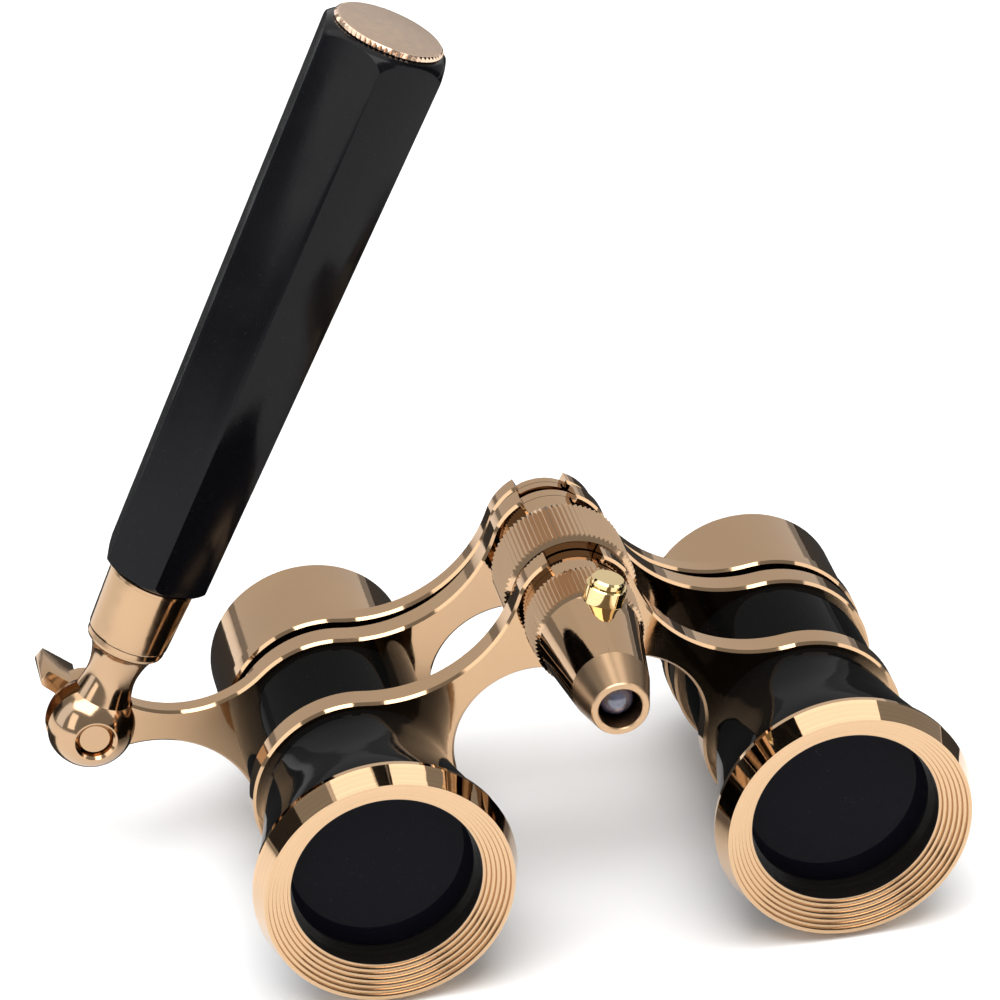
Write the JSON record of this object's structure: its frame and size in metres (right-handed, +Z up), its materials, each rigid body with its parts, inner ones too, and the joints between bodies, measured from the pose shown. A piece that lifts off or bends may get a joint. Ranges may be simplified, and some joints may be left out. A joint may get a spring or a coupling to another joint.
{
  "type": "opera glasses",
  "caption": "Folding Galilean opera glasses with gold-plated bridges, black barrels, centre focus wheel, front reading torch and a telescoping six-sided side handle.",
  "frame": {"origin": "bottom centre of the bounding box of the whole object at rest, at the height of the objective rims' lowest points", "axes": "+Y towards the user's eyes, along the barrels; -Y out of the objectives; +Z up, from the barrels to the centre hinge; -X to the handle side"},
  "size_m": [0.1164, 0.0632, 0.1212],
  "materials": {
    "gold_polished": "mirror-polished rose gold plate",
    "gold_knurled": "polished gold plate over straight knurling",
    "gold_turned": "gold plate, polished bevel and fine turned steps on the face",
    "gold_button": "polished yellow gold plate",
    "gold_cap": "satin gold plate with a bright beaded rim",
    "black_enamel": "gloss black enamel",
    "black_lacquer": "gloss black moulded plastic",
    "coated_glass": "polished, dark anti-reflection coating",
    "black_anodised": "matt black anodised",
    "nickel": "bright nickel plate",
    "steel": "drawn steel",
    "acetal": "natural acetal",
    "circuit_board": "solder-masked board",
    "led_epoxy": "clear epoxy dome"
  },
  "bodies": {
    "left_half": {"front_plate_left": "gold_polished", "rear_plate_left": "gold_polished", "barrel_tube_left": "black_enamel", "objective_rim_left": "gold_turned", "objective_lens_left": "coated_glass", "objective_retainer_left": "black_anodised", "hinge_bush_front": "gold_polished", "hinge_bush_rear": "gold_polished", "hinge_spacer": "gold_polished", "torch_base": "gold_polished", "torch_ring": "gold_knurled", "torch_nose": "gold_polished", "button_boss": "gold_button", "button_spring": "steel", "torch_cells": "nickel", "contact_spring": "steel", "led_board": "circuit_board", "torch_led": "led_epoxy"},
    "right_half": {"front_plate_right": "gold_polished", "rear_plate_right": "gold_polished", "barrel_tube_right": "black_enamel", "objective_rim_right": "gold_turned", "objective_lens_right": "coated_glass", "objective_retainer_right": "black_anodised"},
    "focus_drive": {"focus_wheel": "gold_knurled", "focus_spindle": "steel"},
    "ocular_left": {"ocular_plate_left": "gold_polished", "eyepiece_tube_left": "nickel", "eyecup_left": "gold_polished", "eye_lens_left": "coated_glass", "eye_lens_ring_left": "black_anodised", "focus_nut": "gold_polished", "bridge_cap": "gold_polished"},
    "ocular_right": {"ocular_plate_right": "gold_polished", "eyepiece_tube_right": "nickel"},
    "dioptre_cup": {"eyecup_right": "gold_polished", "eye_lens_right": "coated_glass", "eye_lens_ring_right": "black_anodised"},
    "torch_button": {"torch_button": "gold_button"},
    "handle_arm": {"handle_head": "gold_polished", "handle_collar": "gold_polished", "handle_inner_tube": "nickel", "stop_ring": "steel"},
    "handle_grip": {"handle_grip": "black_lacquer", "handle_cap": "gold_cap", "slide_bush": "acetal"},
    "lock_lever": {"lock_lever": "gold_polished", "pivot_pin": "gold_polished"}
  },
  "joints": [
    {"name": "ipd_fold", "type": "hinge", "parent": "left_half", "child": "right_half", "pos_m": [0.01053, -0.00598, 0.041], "axis": [0, -1, 0], "range_deg": [-12, 30]},
    {"name": "focus_turn", "type": "hinge", "parent": "left_half", "child": "focus_drive", "pos_m": [0.01053, -0.00248, 0.041], "axis": [0, 1, 0], "range_deg": [-51, 255]},
    {"name": "focus_left", "type": "slide", "parent": "left_half", "child": "ocular_left", "axis": [0, 1, 0], "range_m": [-0.0008, 0.0042]},
    {"name": "focus_right", "type": "slide", "parent": "right_half", "child": "ocular_right", "axis": [0, 1, 0], "range_m": [-0.0009, 0.0043]},
    {"name": "dioptre_set", "type": "slide", "parent": "ocular_right", "child": "dioptre_cup", "axis": [0, 1, 0], "range_m": [0, 0.0022]},
    {"name": "torch_press", "type": "slide", "parent": "left_half", "child": "torch_button", "axis": [-0.2672, 0, -0.9636], "range_m": [0, 0.0008], "stiffness_N_per_m": 1200, "springref_m": -0.0004, "deforming": ["button_spring"]},
    {"name": "handle_pivot", "type": "hinge", "parent": "left_half", "child": "handle_arm", "pos_m": [-0.05232, 0.01172, 0.0227], "axis": [0, 1, 0], "range_deg": [-185, 4]},
    {"name": "handle_extend", "type": "slide", "parent": "handle_arm", "child": "handle_grip", "axis": [0.4234, 0, 0.9059], "range_m": [0, 0.055]},
    {"name": "lock_turn", "type": "hinge", "parent": "handle_arm", "child": "lock_lever", "pos_m": [-0.05232, 0.01172, 0.0227], "axis": [0, 1, 0], "range_deg": [0, 45]}
  ],
  "couplings": [
    {"joint": "focus_turn", "follows": "focus_left", "rad_per_m": 1047.2},
    {"joint": "focus_right", "follows": "focus_left", "ratio": 1}
  ]
}
